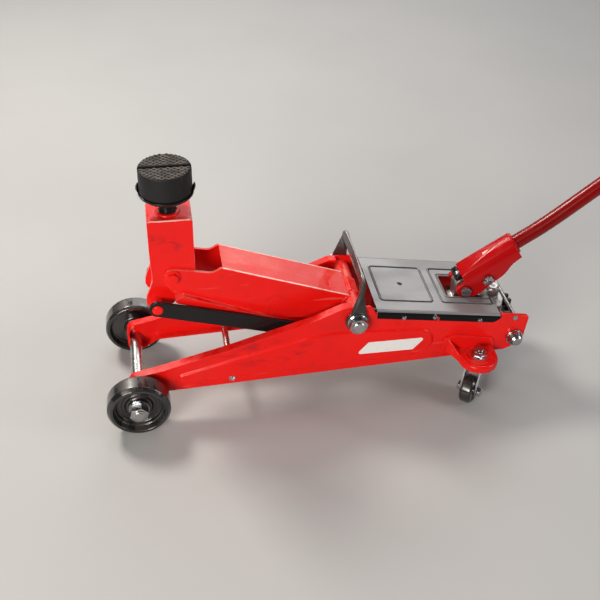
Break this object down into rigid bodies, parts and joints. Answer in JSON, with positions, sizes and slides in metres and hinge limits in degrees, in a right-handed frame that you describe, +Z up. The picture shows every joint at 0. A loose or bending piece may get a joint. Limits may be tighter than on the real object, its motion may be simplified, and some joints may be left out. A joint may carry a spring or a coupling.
{
  "type": "trolley jack",
  "caption": "Low hydraulic trolley jack on wheels and casters, with a pivoted lift arm, levelled saddle column, rubber-faced saddle, carry hoop and long pump handle.",
  "frame": {"origin": "middle of the bottom of the whole jack's bounding box, on the floor", "axes": "+X along the jack from the saddle end to the handle end, +Z up, +Y across to the side with the right front wheel"},
  "size_m": [1.31, 0.243, 0.8086],
  "materials": {
    "red_paint": "gloss bright red enamel, worn and dusty on top faces",
    "black_paint": "satin to gloss black enamel",
    "grey_paint": "dark metallic grey enamel, satin",
    "zinc": "bright zinc plating",
    "cast": "machined and zinc-washed casting",
    "wheel": "gloss black nylon",
    "pad_rubber": "worn black rubber, brown with dust on top",
    "grip_rubber": "matt black rubber foam"
  },
  "bodies": {
    "chassis": {"side_plate_left": "red_paint", "caster_bracket_left": "red_paint", "axle_washer_left": "zinc", "axle_nut_left": "zinc", "pivot_nut_left": "zinc", "rear_nut_left": "zinc", "link_rear_pin_left": "zinc", "cover_screw_left_1": "zinc", "cover_screw_left_2": "zinc", "side_plate_right": "red_paint", "caster_bracket_right": "red_paint", "axle_washer_right": "zinc", "axle_nut_right": "zinc", "pivot_nut_right": "zinc", "rear_nut_right": "zinc", "link_rear_pin_right": "zinc", "cover_screw_right_1": "zinc", "cover_screw_right_2": "zinc", "cover_plate": "grey_paint", "front_axle": "zinc", "front_tie_rod": "zinc", "rear_rod": "zinc", "arm_pivot_shaft": "zinc", "carry_handle": "grey_paint", "power_unit_block": "cast", "cylinder_tube": "cast", "cylinder_gland": "zinc", "pump_spring": "zinc"},
    "front_wheel_left": {"front_wheel_left": "wheel"},
    "caster_left": {"caster_fork_left": "zinc", "caster_axle_left": "zinc", "caster_king_nut_left": "zinc"},
    "caster_wheel_left": {"caster_wheel_left": "wheel"},
    "level_link_left": {"level_link_left": "black_paint"},
    "front_wheel_right": {"front_wheel_right": "wheel"},
    "caster_right": {"caster_fork_right": "zinc", "caster_axle_right": "zinc", "caster_king_nut_right": "zinc"},
    "caster_wheel_right": {"caster_wheel_right": "wheel"},
    "level_link_right": {"level_link_right": "black_paint"},
    "lift_arm": {"lift_arm": "red_paint", "crank_pin": "zinc", "front_pivot_bolt_left": "red_paint", "front_pivot_bolt_right": "red_paint"},
    "column": {"saddle_column": "red_paint", "link_front_pin_left": "red_paint", "link_front_pin_right": "red_paint"},
    "ram": {"ram": "zinc"},
    "extension_screw": {"extension_screw": "black_paint"},
    "saddle": {"saddle_cup": "black_paint", "rubber_pad": "pad_rubber"},
    "handle_socket": {"handle_socket": "red_paint", "socket_pivot_pin": "zinc", "socket_roller": "zinc"},
    "handle": {"handle_lower": "red_paint", "handle_upper": "red_paint", "handle_grip": "grip_rubber"},
    "pump_plunger": {"pump_plunger": "zinc"},
    "release_valve": {"release_valve": "black_paint"}
  },
  "joints": [
    {"name": "front_wheel_left_spin", "type": "hinge", "parent": "chassis", "child": "front_wheel_left", "pos_m": [-0.61002, -0.091, 0.045], "axis": [0, 1, 0], "continuous": true},
    {"name": "front_wheel_right_spin", "type": "hinge", "parent": "chassis", "child": "front_wheel_right", "pos_m": [-0.61002, 0.091, 0.045], "axis": [0, 1, 0], "continuous": true},
    {"name": "caster_left_swivel", "type": "hinge", "parent": "chassis", "child": "caster_left", "pos_m": [-0.11102, -0.0885, 0.066], "axis": [0, 0, 1], "continuous": true},
    {"name": "caster_wheel_left_spin", "type": "hinge", "parent": "caster_left", "child": "caster_wheel_left", "pos_m": [-0.12077, -0.0999, 0.022], "axis": [0.76, -0.65, 0], "continuous": true},
    {"name": "caster_right_swivel", "type": "hinge", "parent": "chassis", "child": "caster_right", "pos_m": [-0.11102, 0.0885, 0.066], "axis": [0, 0, 1], "continuous": true},
    {"name": "caster_wheel_right_spin", "type": "hinge", "parent": "caster_right", "child": "caster_wheel_right", "pos_m": [-0.12077, 0.0999, 0.022], "axis": [-0.76, -0.65, 0], "continuous": true},
    {"name": "arm_lift", "type": "hinge", "parent": "chassis", "child": "lift_arm", "pos_m": [-0.29552, 0, 0.147], "axis": [0, 1, 0], "range_deg": [-26, 31]},
    {"name": "column_level", "type": "hinge", "parent": "lift_arm", "child": "column", "pos_m": [-0.54882, 0, 0.2205], "axis": [0, 1, 0], "range_deg": [-31, 26]},
    {"name": "ram_slide", "type": "slide", "parent": "chassis", "child": "ram", "axis": [1, 0, 0], "range_m": [-0.024, 0.0195]},
    {"name": "saddle_extension", "type": "slide", "parent": "column", "child": "extension_screw", "axis": [0, 0, 1], "range_m": [-0.02, 0.04]},
    {"name": "saddle_turn", "type": "hinge", "parent": "extension_screw", "child": "saddle", "pos_m": [-0.54902, 0, 0.34], "axis": [0, 0, 1], "continuous": true},
    {"name": "pump_stroke", "type": "hinge", "parent": "chassis", "child": "handle_socket", "pos_m": [-0.12102, 0, 0.149], "axis": [0, -1, 0], "range_deg": [-15, 42]},
    {"name": "handle_twist", "type": "hinge", "parent": "handle_socket", "child": "handle", "pos_m": [-0.04602, 0, 0.2135], "axis": [0.829, 0, 0.5592], "range_deg": [0, 90]},
    {"name": "plunger_slide", "type": "slide", "parent": "chassis", "child": "pump_plunger", "axis": [0, 0, 1], "range_m": [-0.0072, 0.02], "deforming": ["pump_spring"]},
    {"name": "release_turn", "type": "hinge", "parent": "chassis", "child": "release_valve", "pos_m": [-0.03002, -0.024, 0.082], "axis": [1, 0, 0], "range_deg": [0, 90]},
    {"name": "level_link_left_swing", "type": "hinge", "parent": "chassis", "child": "level_link_left", "pos_m": [-0.31922, -0.0435, 0.1045], "axis": [0, 1, 0], "range_deg": [-26, 31]},
    {"name": "level_link_right_swing", "type": "hinge", "parent": "chassis", "child": "level_link_right", "pos_m": [-0.31922, 0.0435, 0.1045], "axis": [0, 1, 0], "range_deg": [-26, 31]}
  ],
  "couplings": [
    {"joint": "column_level", "follows": "arm_lift", "ratio": -1},
    {"joint": "level_link_left_swing", "follows": "arm_lift", "ratio": 1},
    {"joint": "level_link_right_swing", "follows": "arm_lift", "ratio": 1},
    {"joint": "ram_slide", "follows": "arm_lift", "m_per_rad": -0.0425},
    {"joint": "plunger_slide", "follows": "pump_stroke", "m_per_rad": 0.027},
    {"joint": "release_turn", "follows": "handle_twist", "ratio": 1}
  ]
}
